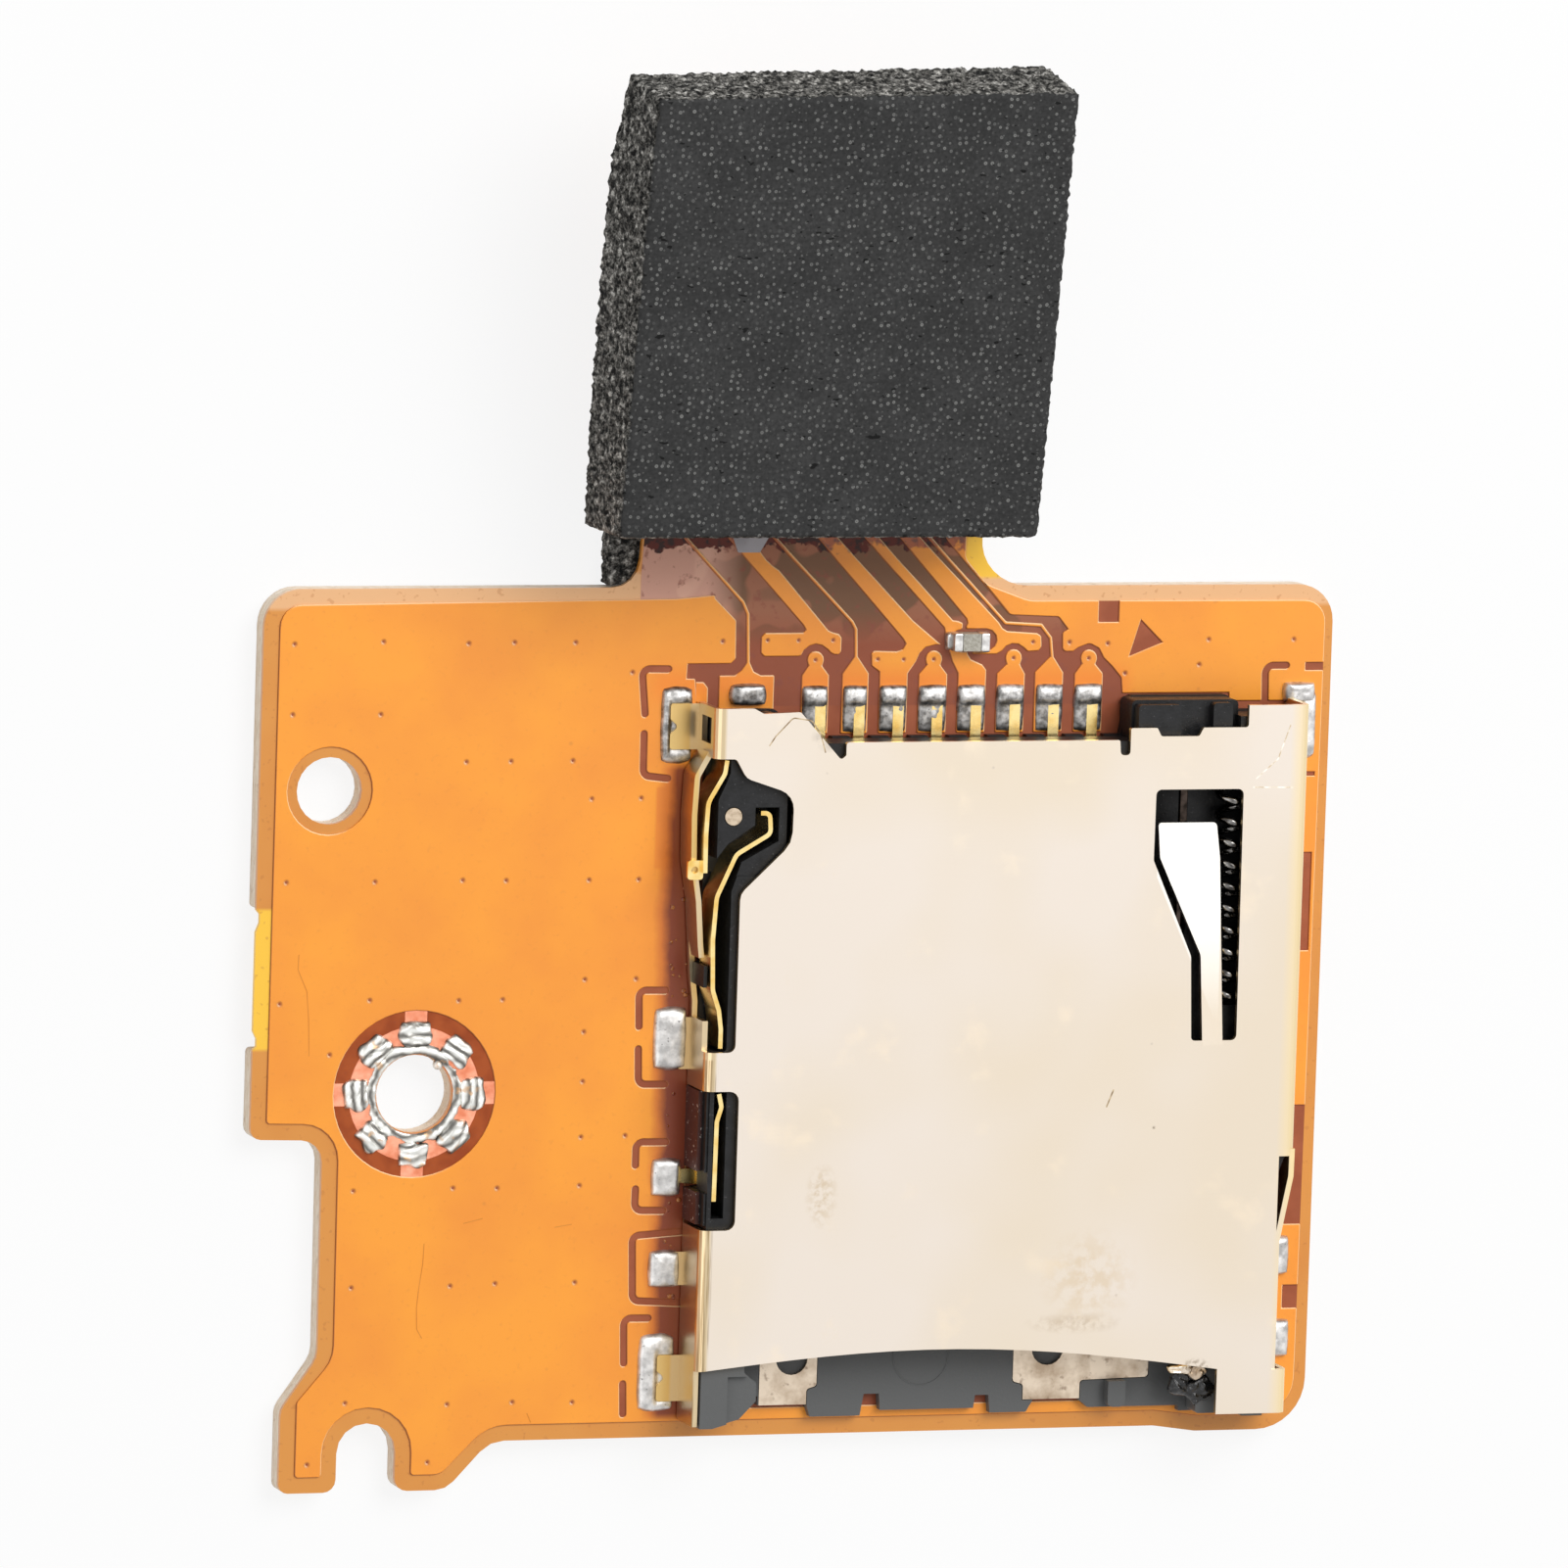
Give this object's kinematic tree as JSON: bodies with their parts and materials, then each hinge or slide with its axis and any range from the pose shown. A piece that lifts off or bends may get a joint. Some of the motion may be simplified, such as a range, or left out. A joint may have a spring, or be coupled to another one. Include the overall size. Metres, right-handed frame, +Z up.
{
  "type": "memory card slot board",
  "caption": "Small flexible circuit on a stiffener with a push-push memory card socket, a short tail with a plug under it and a thick foam pad.",
  "frame": {"origin": "underside of the stiffener, below the middle of the row of card contacts", "axes": "+X across the card slot towards the coil spring, +Y from the card's entry towards the tail, +Z up from the board towards the socket's cover"},
  "size_m": [0.03, 0.0384, 0.0065],
  "materials": {
    "polyimide film": "amber film with copper showing through",
    "glass epoxy": "pale, cut edge",
    "foam": "black foam with fine cells",
    "black polymer": "satin moulding",
    "champagne sheet": "satin plated sheet",
    "gold plate": "bright gold plating",
    "spring steel": "bright drawn wire",
    "solder": "mottled grey solder",
    "capacitor ceramic": "plain brown ceramic"
  },
  "bodies": {
    "board": {"block_pin": "champagne sheet", "capacitor_body": "capacitor ceramic", "capacitor_end_left": "solder", "capacitor_end_right": "solder", "card_contact_1": "gold plate", "card_contact_2": "gold plate", "card_contact_3": "gold plate", "card_contact_4": "gold plate", "card_contact_5": "gold plate", "card_contact_6": "gold plate", "card_contact_7": "gold plate", "card_contact_8": "gold plate", "card_switch_fixed_leaf": "gold plate", "card_switch_moving_leaf": "gold plate", "flex_circuit": "polyimide film", "floor_plate": "champagne sheet", "foot_solder_1": "solder", "foot_solder_2": "solder", "foot_solder_3": "solder", "foot_solder_4": "solder", "foot_solder_5": "solder", "foot_solder_6": "solder", "foot_solder_7": "solder", "foot_solder_8": "solder", "neck_foam_pad": "foam", "plug_housing": "black polymer", "plug_pin_front_1": "gold plate", "plug_pin_front_2": "gold plate", "plug_pin_front_3": "gold plate", "plug_pin_front_4": "gold plate", "plug_pin_front_5": "gold plate", "plug_pin_front_6": "gold plate", "plug_pin_rear_1": "gold plate", "plug_pin_rear_2": "gold plate", "plug_pin_rear_3": "gold plate", "plug_pin_rear_4": "gold plate", "plug_pin_rear_5": "gold plate", "plug_pin_rear_6": "gold plate", "ring_solder_1": "solder", "ring_solder_2": "solder", "ring_solder_3": "solder", "ring_solder_4": "solder", "ring_solder_5": "solder", "ring_solder_6": "solder", "ring_solder_7": "solder", "ring_solder_8": "solder", "side_guide_spring": "gold plate", "slider_spring": "spring steel", "socket_base": "black polymer", "socket_cover": "champagne sheet", "stiffener_plate": "glass epoxy", "tail_foam_pad": "foam", "tail_stiffener": "glass epoxy"},
    "slider": {"card_slider": "black polymer"},
    "latch_pin": {"cam_pin": "spring steel"}
  },
  "joints": [
    {"name": "slider_slide", "type": "slide", "parent": "board", "child": "slider", "axis": [0, 1, 0], "range_m": [0, 0.0034], "stiffness_N_per_m": 300, "deforming": ["slider_spring"]},
    {"name": "latch_pin_swing", "type": "hinge", "parent": "board", "child": "latch_pin", "pos_m": [0.00615, 0.0048, 0.00192], "axis": [0, 0, 1], "range_deg": [-4.1, 0]}
  ],
  "couplings": [
    {"joint": "latch_pin_swing", "follows": "slider_slide", "rad_per_m": -20.53}
  ]
}
